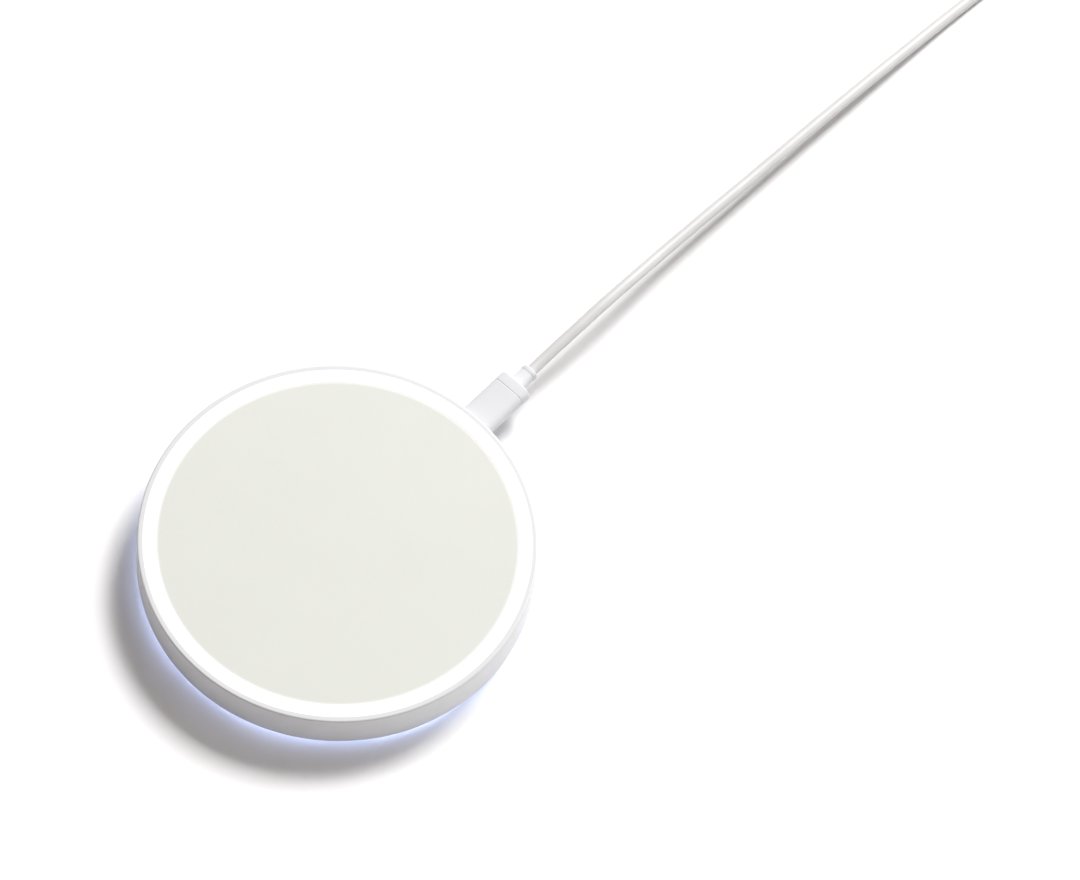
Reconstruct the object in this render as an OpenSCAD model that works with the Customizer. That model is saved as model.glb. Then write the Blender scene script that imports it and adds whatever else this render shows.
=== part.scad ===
// Round wireless charging pad with a plug-in cable.
// Millimetres. The origin is the centre of the underside, +Z is up and the cable leaves along +Y.

/* [Pad] */
// Outside diameter of the pad
pad_d = 100; // [98:1:112]
// Height of the bezel ring above the surface that the pad stands on
pad_h = 12.5; // [12.4:0.1:14]
// Gap under the side wall, where the light ring shines out
wall_foot_z = 1.6; // [1.5:0.1:1.8]
// Distance from the edge of the charging disc to the outside of the pad
bezel_w = 4.9; // [4.2:0.1:5.6]
// Width of the housing's own rim, outside the bezel ring
rim_w = 1.4; // [1.2:0.1:1.8]
// Radius of the rounded outer rim
rim_round = 0.5; // [0.3:0.1:0.8]
// Depth of the charging disc below the top of the bezel ring
disc_drop = 0.15; // [0.1:0.05:0.3]
// Thickness of the charging disc
disc_t = 0.7; // [0.5:0.05:0.7]

/* [Cable] */
// Diameter of the cord
cord_d = 3; // [2.6:0.1:3]
// Width of the plug's grip
grip_w = 9.4; // [8.6:0.1:10]
// Thickness of the plug's grip
grip_t = 5; // [4.6:0.1:5.4]
// Length of the plug's grip
grip_len = 15.2; // [12:0.1:18]
// Length of the neck between the grip and the cord
neck_len = 5.5; // [4:0.5:8]

/* [Charging coil] */
// Number of turns in the charging coil
coil_turns = 12; // [8:1:13]
// Diameter of the coil's litz wire
litz_d = 1.1; // [1.08:0.01:1.2]

/* [Hidden] */

fine = 128;
pin_fine = 32;
slack = 0.05;
past = 1;

pad_r = pad_d / 2;
wall_t = 2.4;
wall_in_r = pad_r - wall_t;
disc_r = pad_r - bezel_w;
disc_gap = 0.05;
disc_top_z = pad_h - disc_drop;
disc_bottom_z = disc_top_z - disc_t;
film_t = 0.1;
deck_top_z = disc_bottom_z - film_t;
deck_t = 1.2;
deck_z = deck_top_z - deck_t;
bezel_in_r = disc_r + disc_gap;
bezel_out_r = pad_r - rim_w;
bezel_round = 1.6;
bezel_lean = acos(1 - disc_drop / bezel_round);

// The wall is thinner at its foot, where the light guide stands behind it.
skirt_in_r = pad_r - 1.1;
skirt_top_z = 4.6;
guide_z = 2;
guide_flange_t = 0.6;
guide_in_r = wall_in_r - 2.1;
guide_web_in_r = wall_in_r - 1.3;
guide_web_out_r = wall_in_r - slack;
guide_out_r = skirt_in_r - slack;
guide_shoulder_z = skirt_top_z - slack;
guide_glow_w = 1.75;
guide_top_z = 8.4;

base_z = 0.5;
base_top_z = 3;
base_lip_r = wall_in_r - 0.7;
base_r = guide_in_r - slack;
foot_in_r = 36;
foot_out_r = 44;
foot_groove_z = 1.2;

base_screw_r = 40;
base_screw_angles = [45, 135, 225, 315];
base_screw_seat_z = 2.4;
screw_d = 1.9;
screw_hole_d = 2.2;
thread_hole_d = 2;
head_d = 3.6;
head_pocket_d = 4;
head_t = 1.1;
housing_boss_d = 5;

port_z = 7.6;
socket_w = 7.6;
socket_h = 2.7;
socket_sheet = 0.3;
socket_front_y = pad_r - 0.6;
socket_back_y = socket_front_y - 5.4;
port_window_gap = 0.15;

board_r = 45.2;
board_t = 1;
board_top_z = port_z - socket_h / 2;
board_z = board_top_z - board_t;
board_screw_r = 33;
board_screw_angles = [30, 150, 270];
board_boss_d = 4.5;

coil_in_r = 10.5;
litz_pitch = 1.05;
coil_top_z = deck_z - film_t;
coil_z = coil_top_z - litz_d;
coil_out_r = coil_in_r + (coil_turns - 1) * litz_pitch + litz_d;
ferrite_r = 26;
ferrite_t = 0.8;
ferrite_z = coil_z - ferrite_t;
shield_r = 27;
shield_t = 0.5;
shield_z = ferrite_z - shield_t;
lead_d = 0.9;
lead_bend_r = 1.2;
lead_drop_r = 29;
lead_angles = [-16, -8];

plug_w = 6.8;
plug_h = 1.85;
plug_sheet = 0.25;
plug_reach = 5;
grip_y = pad_r + 0.3;
grip_end_y = grip_y + grip_len;
plug_tip_y = grip_y - plug_reach;
plug_root_y = grip_y + 1.5;
grip_round = 1.8;
grip_bevel = 2.6;
neck_w = 4.4;
neck_t = 4;
neck_round = 1.6;
cord_exit_y = grip_end_y + neck_len;
contact_xs = [-1.3, -0.65, 0, 0.65, 1.3];

// Route of the cord from the plug's neck to the storage coil: x, distance from the neck, height.
floor_z = cord_d / 2;
cord_end = [7, 199, floor_z];
cord_route = [
    [0, 0, port_z], [0, 5, 7.7], [0.1, 11, 8.1], [0.3, 18, 8.5], [0.4, 26, 8.7], [0.5, 34, 8.4],
    [0.5, 42, 7.7], [0.5, 50, 7], [0.7, 58, 6.5], [0.9, 66, 6.1], [1.2, 74, 5.7], [1.5, 83, 5.2],
    [1.8, 92, 4.9], [2.2, 103, 4.6], [2.7, 115, 4.2], [3.2, 127, 3.6], [3.8, 141, 2.7],
    [4.5, 155, 1.9], [5.5, 169, floor_z], [6.5, 184, floor_z], cord_end
];
// Storage coil: three turns side by side in each of two layers, a cord's diameter apart.
coil_turn_r = [14.5, 17.5, 20.5];
coil_layers = 2;
coil_x = cord_end[0] - coil_turn_r[2];
coil_y = cord_exit_y + cord_end[1];
coil_h = coil_layers * cord_d;
coil_round = 1.2;
// Route from the coil to the far plug, from the coil's centre. It climbs from the last turn onto
// the coil, follows its outer edge for a quarter turn, and then comes down to the plug.
tail_start_angle = -60;
tail_climb_steps = 4;
tail_arc_steps = 10;
tail_arc_step = 15;
tail_low_z = 4.5;
tail_bulge = 1.15;
tail_end = [-47, 23, 4];
tail_route = concat(
    [for (i = [0 : tail_arc_steps]) tail_arc_point(i, min(i / tail_climb_steps, 1))],
    [
        [-7, 20.5, 7.5], [-14, 20.5, 7.2], [-21, 20.8, 6.5], [-28, 21.4, 5.5], [-35, 22.2, 4.6],
        [-41, 22.8, 4.1], tail_end
    ]
);

tie_w = 8;
tie_t = 1;
tie_inner = [9.2, 6];

far_neck_len = 9;
far_grip = [15.6, 8];
far_grip_len = 22;
far_grip_round = 2;
far_shell = [12, 4.5];
far_shell_len = 12;
far_sheet = 0.3;
far_root = 2;
far_contact_xs = [-3.5, -1, 1, 3.5];

module_white = [0.96, 0.96, 0.97];
disc_white = [0.91, 0.91, 0.88];
steel = [0.78, 0.79, 0.8];
gold = [0.86, 0.7, 0.35];

// ---- Helpers -------------------------------------------------------------------------------

// A point on the tail's arc, part of the way up its climb: it swings outwards to clear the turn beside it.
function tail_arc_point(i, climb) =
    let (
        angle = tail_start_angle + tail_arc_step * i,
        r = coil_turn_r[2] + tail_bulge * sin(180 * climb)
    )
    [r * cos(angle), r * sin(angle), tail_low_z + cord_d * climb * climb * (3 - 2 * climb)];

// Points of an arc around a centre, from one angle to another.
function arc(cx, cy, r, from, to, steps = 6) =
    [for (i = [0 : steps]) [cx + r * cos(from + (to - from) * i / steps),
                            cy + r * sin(from + (to - from) * i / steps)]];

// Outline of a rectangle with rounded corners, centred.
function rounded_outline(w, h, r) = concat(
    arc(w / 2 - r, h / 2 - r, r, 0, 90),
    arc(r - w / 2, h / 2 - r, r, 90, 180),
    arc(r - w / 2, r - h / 2, r, 180, 270),
    arc(w / 2 - r, r - h / 2, r, 270, 360)
);

// Outline of the small plug: a flat top and two cut lower corners.
function plug_outline(w, h) =
    [[w / 2, h / 2], [-w / 2, h / 2], [-w / 2, 0], [0.8 - w / 2, -h / 2], [w / 2 - 0.8, -h / 2],
     [w / 2, 0]];

function unit(v) = v / norm(v);

// A point on the smooth curve through the route's points, t counted in points.
function route_point(route, t) =
    let (
        last = len(route) - 1,
        i = min(floor(t), last - 1),
        f = t - i,
        a = route[max(i - 1, 0)],
        b = route[i],
        c = route[i + 1],
        d = route[min(i + 2, last)]
    )
    0.5 * (2 * b + (c - a) * f + (2 * a - 5 * b + 4 * c - d) * f * f
        + (3 * b - a - 3 * c + d) * f * f * f);

// One eight-sided ring of a tube, square to the route.
function tube_ring(route, t, r) =
    let (
        last = len(route) - 1,
        along = unit(route_point(route, min(t + 0.05, last)) - route_point(route, max(t - 0.05, 0))),
        side = unit(cross(along, [0, 0, 1])),
        up = cross(side, along),
        centre = route_point(route, t)
    )
    [for (k = [0 : 7]) centre + r * (cos(22.5 + 45 * k) * side + sin(22.5 + 45 * k) * up)];

// A tube along a route, with rings at every point and midway between them.
module tube(route, d) {
    rings = 2 * (len(route) - 1);
    points = [for (i = [0 : rings]) each tube_ring(route, i / 2, d / 2)];
    sides = [for (i = [0 : rings - 1], k = [0 : 7])
        each [[8 * i + k, 8 * i + (k + 1) % 8, 8 * i + 8 + k],
              [8 * i + (k + 1) % 8, 8 * i + 8 + (k + 1) % 8, 8 * i + 8 + k]]];
    near_cap = [for (k = [0 : 7]) 7 - k];
    far_cap = [for (k = [0 : 7]) 8 * rings + k];
    polyhedron(points, concat(sides, [near_cap, far_cap]), convexity = 6);
}

module disc(r, z, t) {
    translate([0, 0, z])
        cylinder(h = t, r = r, $fn = fine);
}

module at_angles(angles, r) {
    for (angle = angles)
        rotate([0, 0, angle])
            translate([r, 0, 0])
                children();
}

module pin(d, z_low, z_high) {
    translate([0, 0, z_low])
        cylinder(h = z_high - z_low, d = d, $fn = pin_fine);
}

// An outline in X and Z, run along Y at the height of the port.
module along_y(outline, y_from, y_to, z = port_z) {
    translate([0, y_to, z])
        rotate([90, 0, 0])
            linear_extrude(y_to - y_from)
                polygon(outline);
}

module block(size, centre_x, centre_y, z) {
    translate([centre_x - size[0] / 2, centre_y - size[1] / 2, z])
        cube(size);
}

module box_along_y(x_size, z_low, z_high, y_from, y_to, x = 0) {
    translate([x - x_size / 2, y_from, z_low])
        cube([x_size, y_to - y_from, z_high - z_low]);
}

// ---- Pad: casing ---------------------------------------------------------------------------

module upper_housing() {
    color(module_white)
        difference() {
            union() {
                rotate_extrude($fn = fine)
                    polygon(concat(
                        [[skirt_in_r, wall_foot_z], [pad_r - 0.3, wall_foot_z],
                         [pad_r, wall_foot_z + 0.3]],
                        arc(pad_r - rim_round, pad_h - rim_round, rim_round, 0, 90),
                        [[bezel_out_r + disc_gap, pad_h], [bezel_out_r + disc_gap, deck_top_z],
                         [0, deck_top_z], [0, deck_z], [wall_in_r, deck_z],
                         [wall_in_r, skirt_top_z], [skirt_in_r, skirt_top_z]]
                    ));
                at_angles(base_screw_angles, base_screw_r)
                    pin(housing_boss_d, base_top_z + slack, deck_z + slack);
            }
            at_angles(base_screw_angles, base_screw_r)
                pin(thread_hole_d, base_top_z, deck_z - 1);
            port_window();
        }
}

// Window in the side wall for the socket, open to the outside.
module port_window() {
    w = socket_w + 2 * port_window_gap;
    h = socket_h + 2 * port_window_gap;
    along_y(plug_outline(w, h), wall_in_r - past, pad_r + past);
}

// A white ring around the charging disc, which slopes gently down to it.
module bezel_ring() {
    color("white")
        rotate_extrude($fn = fine)
            polygon(concat(
                [[bezel_in_r, deck_top_z], [bezel_out_r, deck_top_z], [bezel_out_r, pad_h - 0.1],
                 [bezel_out_r - 0.1, pad_h]],
                arc(
                    bezel_in_r + bezel_round * sin(bezel_lean), pad_h - bezel_round, bezel_round,
                    90, 90 + bezel_lean
                )
            ));
}

module charging_disc() {
    color(disc_white)
        rotate_extrude($fn = fine)
            polygon(concat(
                [[0, disc_bottom_z], [disc_r, disc_bottom_z]],
                arc(disc_r - 0.3, disc_top_z - 0.3, 0.3, 0, 90, 4),
                [[0, disc_top_z]]
            ));
}

module disc_adhesive() {
    color("lightyellow")
        disc(disc_r - 1, deck_top_z, film_t);
}

module base_plate() {
    color(module_white)
        difference() {
            union() {
                rotate_extrude($fn = fine)
                    polygon([
                        [0, base_z], [foot_in_r - slack, base_z], [foot_in_r - slack, foot_groove_z],
                        [foot_out_r + slack, foot_groove_z], [foot_out_r + slack, base_z],
                        [base_lip_r, base_z], [base_lip_r, guide_z], [base_r, guide_z],
                        [base_r, base_top_z], [0, base_top_z]
                    ]);
                at_angles(board_screw_angles, board_screw_r)
                    pin(board_boss_d, base_top_z - past, board_z);
            }
            at_angles(base_screw_angles, base_screw_r) {
                pin(head_pocket_d, foot_groove_z - past, base_screw_seat_z);
                pin(screw_hole_d, foot_groove_z, base_top_z + past);
            }
            at_angles(board_screw_angles, board_screw_r)
                pin(thread_hole_d, 1.5, board_z + past);
        }
}

module screw(head_z, direction, shank_len) {
    translate([0, 0, head_z])
        mirror([0, 0, direction < 0 ? 1 : 0])
            difference() {
                union() {
                    pin(head_d, -head_t, 0);
                    pin(screw_d, -slack, shank_len);
                }
                for (turn = [0, 90])
                    rotate([0, 0, turn])
                        translate([-0.9, -0.2, -head_t - past])
                            cube([1.8, 0.4, past + 0.6]);
            }
}

module base_screws() {
    color("silver")
        at_angles(base_screw_angles, base_screw_r)
            screw(base_screw_seat_z, 1, 5.4);
}

module foot_ring() {
    color("whitesmoke")
        rotate_extrude($fn = fine)
            polygon(concat(
                [[foot_in_r, foot_groove_z]],
                arc(foot_in_r + 0.3, 0.3, 0.3, 180, 270, 3),
                arc(foot_out_r - 0.3, 0.3, 0.3, 270, 360, 3),
                [[foot_out_r, foot_groove_z]]
            ));
}

// The LEDs shine into the ring's upright web, and the light leaves by the slope at its foot.
module light_guide_ring() {
    color([0.75, 0.78, 1])
        difference() {
            rotate_extrude($fn = fine)
                polygon([
                    [guide_in_r, guide_z], [guide_out_r - guide_glow_w, guide_z],
                    [guide_out_r, guide_z + guide_glow_w], [guide_out_r, guide_shoulder_z],
                    [guide_web_out_r, guide_shoulder_z], [guide_web_out_r, guide_top_z],
                    [guide_web_in_r, guide_top_z], [guide_web_in_r, guide_z + guide_flange_t],
                    [guide_in_r, guide_z + guide_flange_t]
                ]);
            box_along_y(socket_w + 1.4, guide_shoulder_z, guide_top_z + past, wall_in_r - 5, pad_r);
        }
}

// ---- Pad: electronics ----------------------------------------------------------------------

module circuit_board() {
    color("darkgreen")
        difference() {
            disc(board_r, board_z, board_t);
            at_angles(base_screw_angles, base_screw_r)
                pin(housing_boss_d + 0.6, board_z - past, board_top_z + past);
            at_angles(board_screw_angles, board_screw_r)
                pin(screw_hole_d, board_z - past, board_top_z + past);
        }
}

module board_screws() {
    color("silver")
        at_angles(board_screw_angles, board_screw_r)
            screw(board_top_z, -1, 3.4);
}

module transmit_coil() {
    color("peru")
        rotate_extrude($fn = fine)
            for (turn = [0 : coil_turns - 1])
                translate([coil_in_r + litz_d / 2 + turn * litz_pitch, coil_z + litz_d / 2])
                    circle(d = litz_d, $fn = 24);
}

// Two wires that leave the coil, bend down past the shield and end on the board.
module coil_leads() {
    color("peru")
        for (angle = lead_angles)
            rotate([0, 0, angle])
                coil_lead();
}

module coil_lead() {
    top = coil_z + litz_d / 2;
    start = coil_out_r + slack;
    bend = lead_drop_r - lead_bend_r;
    translate([start, 0, top])
        rotate([0, 90, 0])
            cylinder(h = bend - start, d = lead_d, $fn = pin_fine);
    translate([bend, 0, top - lead_bend_r])
        rotate([90, 0, 0])
            rotate_extrude(angle = 90, $fn = pin_fine)
                translate([lead_bend_r, 0])
                    circle(d = lead_d, $fn = pin_fine);
    translate([lead_drop_r, 0, 0])
        pin(lead_d, board_top_z, top - lead_bend_r);
}

module coil_adhesive() {
    color("lightyellow")
        difference() {
            disc(coil_out_r, coil_top_z, film_t);
            disc(coil_in_r, coil_top_z - past, film_t + 2 * past);
        }
}

module ferrite_disc() {
    color("dimgray")
        disc(ferrite_r, ferrite_z, ferrite_t);
}

module shield_plate() {
    color(steel)
        disc(shield_r, shield_z, shield_t);
}

module controller_chip() {
    color("black")
        block([7, 7, 0.9], -6, -4, board_top_z);
}

module thermal_pad() {
    color("lightblue")
        block([6, 6, shield_z - board_top_z - 0.9], -6, -4, board_top_z + 0.9);
}

module power_inductor() {
    color("dimgray")
        block([7, 7, 3], -34, -3, board_top_z);
}

module switch_transistors() {
    color("black")
        for (i = [0 : 3])
            block([3.3, 3.3, 0.9], 6 * i - 9, 31, board_top_z);
}

module resonant_capacitors() {
    color("tan")
        for (i = [0 : 4])
            block([2.5, 3.2, 1.8], 3.6 * i - 7.2, -38, board_top_z);
}

module chip_resistors() {
    color("black")
        for (i = [0 : 5])
            block([1.6, 0.8, 0.5], 12, 2 * i - 8, board_top_z);
}

module thermistor() {
    color("black")
        block([1.6, 0.8, 0.8], 2, 3, board_top_z);
}

module ring_leds() {
    color("white")
        for (i = [0 : 7])
            rotate([0, 0, 22.5 + 45 * i])
                block([1.4, 3, 1.2], board_r - 0.9, 0, board_top_z);
}

module usb_socket_shell() {
    color(steel)
        difference() {
            along_y(plug_outline(socket_w, socket_h), socket_back_y, socket_front_y);
            along_y(
                plug_outline(socket_w - 2 * socket_sheet, socket_h - 2 * socket_sheet),
                socket_back_y - past,
                socket_front_y + past
            );
        }
}

// The back wall of the socket with the tongue that the plug slides over.
module usb_socket_insulator() {
    back = plug_outline(socket_w - 2 * socket_sheet - 0.04, socket_h - 2 * socket_sheet - 0.04);
    color("black") {
        along_y(back, socket_back_y, socket_back_y + 0.5);
        box_along_y(3.8, port_z - 0.6, port_z - 0.15, socket_back_y + 0.4, socket_front_y - 0.8);
    }
}

module usb_socket_contacts() {
    color(gold)
        for (x = contact_xs)
            box_along_y(0.35, port_z - 0.15, port_z - 0.07, socket_back_y + 0.5, socket_front_y - 1, x);
}

// ---- Cable: plug at the pad ----------------------------------------------------------------

module plug_shell() {
    color(steel)
        difference() {
            along_y(plug_outline(plug_w, plug_h), plug_tip_y, plug_root_y);
            along_y(
                plug_outline(plug_w - 2 * plug_sheet, plug_h - 2 * plug_sheet),
                plug_tip_y - past,
                plug_root_y + past
            );
        }
}

// Contact carrier in the upper half of the plug, with a block that closes the shell at its root.
module plug_insulator() {
    half = plug_h / 2 - plug_sheet;
    color("black") {
        box_along_y(6.2, port_z + 0.07, port_z + half, plug_tip_y + 0.3, plug_root_y);
        along_y(
            plug_outline(plug_w - 2 * plug_sheet, plug_h - 2 * plug_sheet),
            grip_y - 0.2,
            plug_root_y
        );
    }
}

module plug_contacts() {
    color(gold)
        for (x = contact_xs)
            box_along_y(0.35, port_z - 0.02, port_z + 0.07, plug_tip_y + 0.5, grip_y - 0.2, x);
}

module plug_overmould() {
    color(module_white)
        difference() {
            union() {
                along_y(rounded_outline(grip_w, grip_t, grip_round), grip_y, grip_end_y - grip_bevel);
                hull() {
                    along_y(
                        rounded_outline(grip_w, grip_t, grip_round),
                        grip_end_y - grip_bevel - slack,
                        grip_end_y - grip_bevel
                    );
                    along_y(
                        rounded_outline(grip_w - 2, grip_t - 0.8, grip_round),
                        grip_end_y - slack,
                        grip_end_y
                    );
                }
            }
            along_y(plug_outline(plug_w, plug_h), grip_y - past, plug_root_y);
        }
}

module plug_strain_relief() {
    color(module_white)
        along_y(rounded_outline(neck_w, neck_t, neck_round), grip_end_y, cord_exit_y);
}

// ---- Cable: cord and storage coil ----------------------------------------------------------

module cord() {
    color("white")
        translate([0, cord_exit_y, 0])
            tube(cord_route, cord_d);
}

module cord_coil() {
    w = coil_turn_r[2] - coil_turn_r[0] + cord_d;
    mid = (coil_turn_r[2] + coil_turn_r[0]) / 2;
    color("white")
        translate([coil_x, coil_y, 0])
            rotate_extrude($fn = 96)
                translate([mid, coil_h / 2])
                    polygon(rounded_outline(w, coil_h, coil_round));
}

module cord_tail() {
    color("white")
        translate([coil_x, coil_y, 0])
            tube(tail_route, cord_d);
}

// A strap around the coil's turns, on the side away from where the cord comes in.
module cable_tie() {
    mid = (coil_turn_r[2] + coil_turn_r[0]) / 2;
    outer = [tie_inner[0] + 2 * tie_t, tie_inner[1] + 2 * tie_t];
    color("gainsboro")
        translate([coil_x - mid, coil_y + tie_w / 2, outer[1] / 2])
            rotate([90, 0, 0])
                linear_extrude(tie_w)
                    difference() {
                        polygon(rounded_outline(outer[0], outer[1], 2));
                        polygon(rounded_outline(tie_inner[0], tie_inner[1], 1));
                    }
}

// ---- Cable: far plug -----------------------------------------------------------------------

// The far plug is drawn along +Y from the end of the cord, then turned to point along -X.
module far_plug_place() {
    translate([coil_x + tail_end[0], coil_y + tail_end[1], 0])
        rotate([0, 0, 90])
            children();
}

module far_strain_relief() {
    color(module_white)
        far_plug_place()
            hull() {
                along_y(rounded_outline(4.4, 4.4, 2), 0, 1, tail_end[2]);
                along_y(rounded_outline(7.6, 5.6, 2), far_neck_len - 1, far_neck_len, tail_end[2]);
            }
}

module far_plug_overmould() {
    shell_y = far_neck_len + far_grip_len;
    color(module_white)
        far_plug_place()
            difference() {
                along_y(
                    rounded_outline(far_grip[0], far_grip[1], far_grip_round),
                    far_neck_len,
                    shell_y,
                    tail_end[2]
                );
                far_plug_bar(far_shell, shell_y - far_root, shell_y + past);
            }
}

module far_plug_bar(size, y_from, y_to) {
    along_y(rounded_outline(size[0], size[1], 0.4), y_from, y_to, tail_end[2]);
}

module far_plug_shell() {
    shell_y = far_neck_len + far_grip_len;
    inside = [far_shell[0] - 2 * far_sheet, far_shell[1] - 2 * far_sheet];
    color(steel)
        far_plug_place()
            difference() {
                far_plug_bar(far_shell, shell_y - far_root, shell_y + far_shell_len);
                far_plug_bar(inside, shell_y - far_root - past, shell_y + far_shell_len + past);
                for (side = [-1, 1])
                    box_along_y(
                        2.4, tail_end[2], tail_end[2] + far_shell[1], shell_y + 5, shell_y + 7,
                        2.5 * side
                    );
            }
}

// The tongue under the contacts, and a block that closes the shell at its root.
module far_plug_insulator() {
    shell_y = far_neck_len + far_grip_len;
    half = far_shell[1] / 2 - far_sheet - 0.1;
    width = far_shell[0] - 2 * far_sheet - 0.5;
    color("white")
        far_plug_place() {
            box_along_y(
                width, tail_end[2] - half, tail_end[2], shell_y - 1, shell_y + far_shell_len - 0.5
            );
            box_along_y(
                width, tail_end[2] - half, tail_end[2] + half, shell_y - far_root, shell_y - 0.5
            );
        }
}

module far_plug_contacts() {
    shell_y = far_neck_len + far_grip_len;
    color(gold)
        far_plug_place()
            for (x = far_contact_xs)
                box_along_y(
                    1.1, tail_end[2], tail_end[2] + 0.15, shell_y + 0.5, shell_y + far_shell_len - 2, x
                );
}

upper_housing();
bezel_ring();
charging_disc();
disc_adhesive();
base_plate();
base_screws();
foot_ring();
light_guide_ring();
circuit_board();
board_screws();
transmit_coil();
coil_leads();
coil_adhesive();
ferrite_disc();
shield_plate();
controller_chip();
thermal_pad();
power_inductor();
switch_transistors();
resonant_capacitors();
chip_resistors();
thermistor();
ring_leds();
usb_socket_shell();
usb_socket_insulator();
usb_socket_contacts();
plug_shell();
plug_insulator();
plug_contacts();
plug_overmould();
plug_strain_relief();
cord();
cord_coil();
cord_tail();
cable_tie();
far_strain_relief();
far_plug_overmould();
far_plug_shell();
far_plug_insulator();
far_plug_contacts();
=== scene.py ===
"""A round wireless charging pad with a plug-in cable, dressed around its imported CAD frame. Metres."""

import math

import bmesh
import bpy
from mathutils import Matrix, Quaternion, Vector


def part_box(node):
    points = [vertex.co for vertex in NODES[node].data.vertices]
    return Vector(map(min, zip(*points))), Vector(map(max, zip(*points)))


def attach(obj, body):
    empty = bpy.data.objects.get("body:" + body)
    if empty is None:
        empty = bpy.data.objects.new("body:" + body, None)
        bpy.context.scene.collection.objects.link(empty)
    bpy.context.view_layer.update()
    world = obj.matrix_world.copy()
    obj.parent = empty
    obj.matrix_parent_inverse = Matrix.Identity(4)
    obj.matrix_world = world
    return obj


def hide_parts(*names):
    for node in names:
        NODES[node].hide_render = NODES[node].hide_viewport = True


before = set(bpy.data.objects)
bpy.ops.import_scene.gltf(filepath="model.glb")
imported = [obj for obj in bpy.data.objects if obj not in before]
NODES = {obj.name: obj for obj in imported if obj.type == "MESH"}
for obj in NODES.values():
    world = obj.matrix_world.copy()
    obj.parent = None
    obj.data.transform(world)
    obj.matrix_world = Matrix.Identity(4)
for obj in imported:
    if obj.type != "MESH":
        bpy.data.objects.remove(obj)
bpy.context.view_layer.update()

MM = 0.001

# ---- Places and sizes, read from the frame --------------------------------------------------

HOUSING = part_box("upper_housing")
PAD_R = (HOUSING[1].x - HOUSING[0].x) / 2
PAD_TOP = HOUSING[1].z
WALL_FOOT = HOUSING[0].z
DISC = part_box("charging_disc")
DISC_R = (DISC[1].x - DISC[0].x) / 2
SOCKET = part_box("usb_socket_shell")
PORT_Z = (SOCKET[0].z + SOCKET[1].z) / 2
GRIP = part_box("plug_overmould")
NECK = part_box("plug_strain_relief")
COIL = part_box("cord_coil")
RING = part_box("bezel_ring")
RING_OUT_R = (RING[1].x - RING[0].x) / 2
GUIDE_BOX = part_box("light_guide_ring")
GUIDE_R = (GUIDE_BOX[1].x - GUIDE_BOX[0].x) / 2
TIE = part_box("cable_tie")
FAR_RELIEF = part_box("far_strain_relief")
FAR_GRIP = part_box("far_plug_overmould")
COIL_X = (COIL[0].x + COIL[1].x) / 2
COIL_Y = (COIL[0].y + COIL[1].y) / 2
CORD_EXIT = Vector((0, NECK[1].y, PORT_Z))
# Top of the wall's thin foot, which the light guide fills from behind.
SKIRT_TOP = 4.6 * MM
# Underside of the light guide's flange, and the underside and outer radius of the lip below it.
GUIDE_Z = 2 * MM
LIP_Z = 1.15 * MM
LIP_R = 46.6 * MM
FOOT_IN_R = 36 * MM
FOOT_GROOVES = 3

# ---- The cord: its thickness, and the route that the CAD model gives it ----------------------

CORD_D = 3 * MM
FLOOR_Z = 1.5
PORT_Z_MM = PORT_Z / MM
# From the plug's neck to the storage coil: x, distance from the neck, height, in millimetres.
CORD_ROUTE = [
    (0, 0, PORT_Z_MM), (0, 5, 7.7), (0.1, 11, 8.1), (0.3, 18, 8.5), (0.4, 26, 8.7), (0.5, 34, 8.4),
    (0.5, 42, 7.7), (0.5, 50, 7), (0.7, 58, 6.5), (0.9, 66, 6.1), (1.2, 74, 5.7), (1.5, 83, 5.2),
    (1.8, 92, 4.9), (2.2, 103, 4.6), (2.7, 115, 4.2), (3.2, 127, 3.6), (3.8, 141, 2.7),
    (4.5, 155, 1.9), (5.5, 169, FLOOR_Z), (6.5, 184, FLOOR_Z), (7, 199, FLOOR_Z),
]
# From the coil to the far plug, measured from the coil's centre, in millimetres.
TAIL_ROUTE = [
    (-7, 20.5, 7.5), (-14, 20.5, 7.2), (-21, 20.8, 6.5), (-28, 21.4, 5.5), (-35, 22.2, 4.6),
    (-41, 22.8, 4.1), (-47, 23, 4),
]
# Points from one corner of the two routes to the next.
LEAD_STEPS = 8
TAIL_STEPS = 5
# Radius and height of each turn of the coil in millimetres: inwards on the floor, outwards on top.
COIL_TURNS = [(20.5, 1.5), (17.5, 1.5), (14.5, 1.5), (14.5, 4.5), (17.5, 4.5), (20.5, 4.5)]
COIL_TOP = (20.5, 7.5)
INNERMOST_R = 14.5
# Angles in degrees: from point to point, the stretch in which a turn moves over to the next one,
# where the tail leaves the coil, and how far before that its curve starts.
COIL_STEP = 6
SHIFT_ANGLE = 60
TAIL_ARC_END = 90
TAIL_LEAD_IN = 15
# How far a turn swings out, in millimetres, where it climbs to the upper layer.
SHIFT_BULGE = 1.15
# The strap lies under the coil at this angle, and lifts it by this many millimetres around it.
TIE_ANGLE = 180
TIE_LIFT = 1
TIE_LIFT_REACH = 50


def smooth_step(t):
    """Zero up to t = 0, one from t = 1 on, and a smooth rise between them."""
    t = min(max(t, 0), 1)
    return t * t * (3 - 2 * t)


def spline(points, steps):
    """The smooth curve through the points, with this many steps from one point to the next."""
    points = [Vector(p) for p in points]
    last = len(points) - 1
    curve = []
    for i in range(last):
        a, b = points[max(i - 1, 0)], points[i]
        c, d = points[i + 1], points[min(i + 2, last)]
        for k in range(steps):
            f = k / steps
            curve.append(0.5 * (2 * b + (c - a) * f + (2 * a - 5 * b + 4 * c - d) * f * f
                                + (3 * b - a - 3 * c + d) * f * f * f))
    curve.append(points[last])
    return curve


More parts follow.
